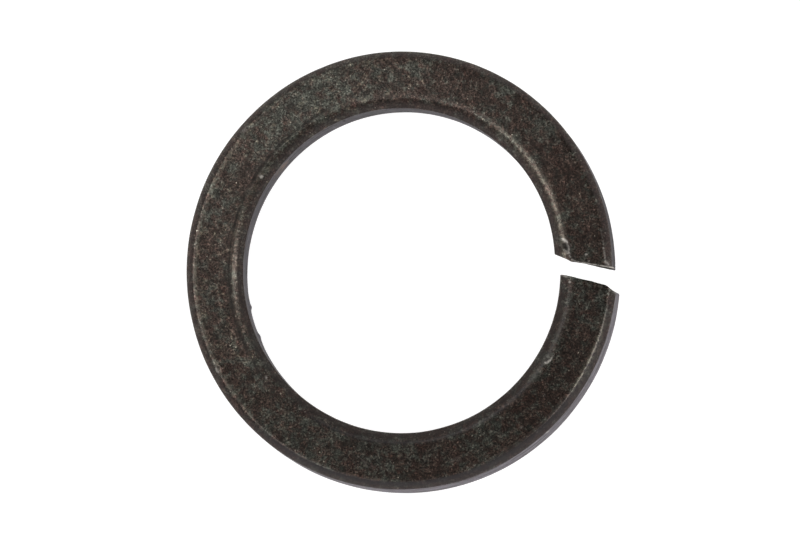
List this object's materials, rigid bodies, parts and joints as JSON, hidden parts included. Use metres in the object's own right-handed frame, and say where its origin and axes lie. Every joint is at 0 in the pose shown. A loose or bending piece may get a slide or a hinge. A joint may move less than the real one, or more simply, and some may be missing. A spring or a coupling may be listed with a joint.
{
  "type": "spring lock washer",
  "caption": "Spring lock washer: one left-hand turn of square steel wire with a slanted split, which goes under a screw head or nut and keeps it tight.",
  "frame": {"origin": "on the hole's axis, level with the lowest corner of the lower end", "axes": "+Z along the hole's axis towards the higher end, +X through the gap between the two ends"},
  "size_m": [0.038, 0.038, 0.0108],
  "materials": {
    "steel": "satin"
  },
  "bodies": {
    "root": {"washer": "steel"}
  },
  "joints": []
}
